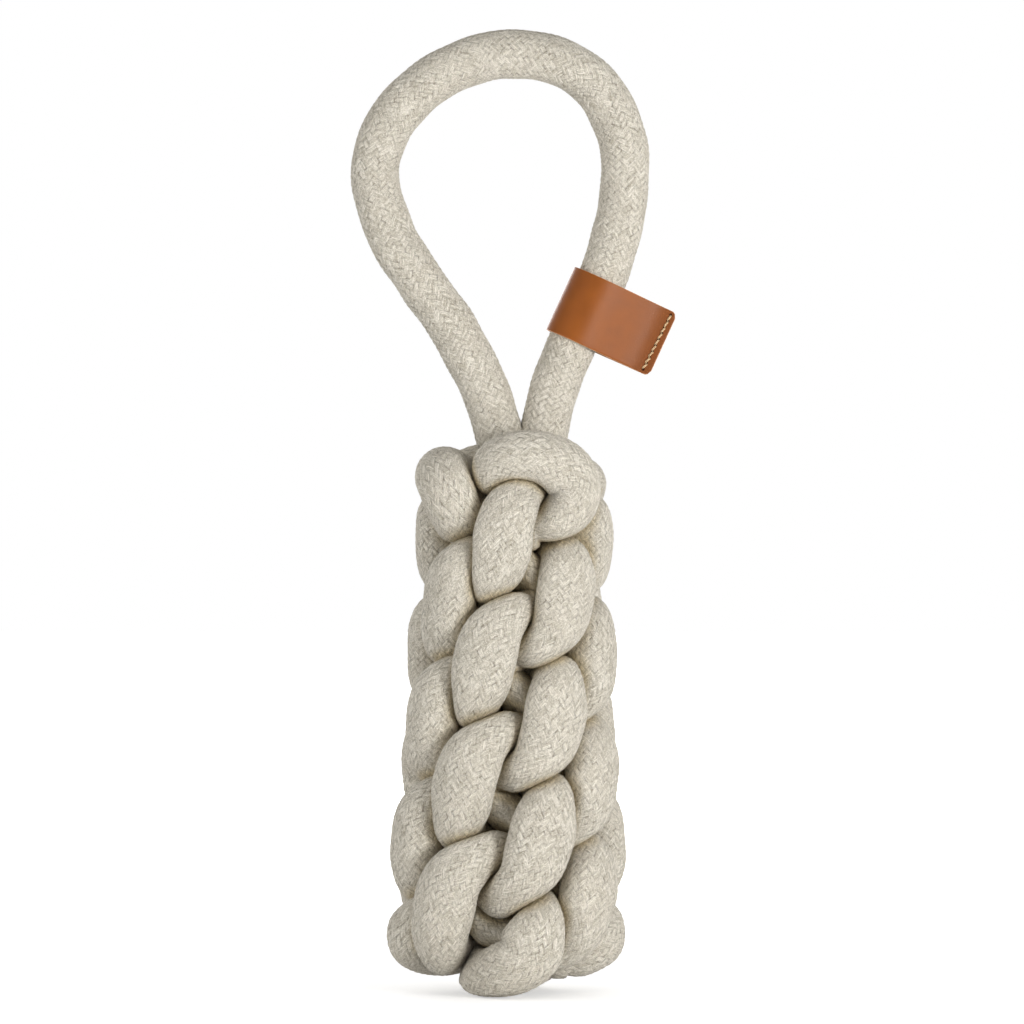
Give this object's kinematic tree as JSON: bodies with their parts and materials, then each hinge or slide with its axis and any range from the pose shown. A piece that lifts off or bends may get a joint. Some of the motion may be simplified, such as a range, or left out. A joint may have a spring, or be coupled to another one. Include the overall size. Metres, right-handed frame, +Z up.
{
  "type": "rope dog toy",
  "caption": "Chunky dog toy of crown-knotted natural cotton rope with a flexing rope loop to hold and a plain leather tag that swivels on one leg of the loop.",
  "frame": {"origin": "under the middle of the toy, on the surface that it stands on", "axes": "+Z up from the knotted block to the loop, +X to the right seen from the front, +Y to the back; the loop lies in the XZ plane"},
  "size_m": [0.1078, 0.0774, 0.3204],
  "materials": {
    "cotton_rope": "undyed braided cotton",
    "leather": "smooth tan leather, slightly glossy",
    "thread": "pale waxed sewing thread"
  },
  "bodies": {
    "block": {"handle_strand_left": "cotton_rope", "handle_strand_right": "cotton_rope", "cross_rope": "cotton_rope"},
    "handle": {"handle_loop": "cotton_rope"},
    "tag": {"leather_tag": "leather", "seam_thread_front": "thread", "seam_thread_back": "thread"}
  },
  "joints": [
    {"name": "handle_flex", "type": "hinge", "parent": "block", "child": "handle", "pos_m": [0.0022, 0, 0.189], "axis": [1, 0, 0], "range_deg": [-60, 60], "stiffness_Nm_per_rad": 0.3},
    {"name": "tag_swivel", "type": "hinge", "parent": "handle", "child": "tag", "pos_m": [0.02428, 0, 0.22718], "axis": [0.4143, 0, 0.9101], "continuous": true}
  ]
}
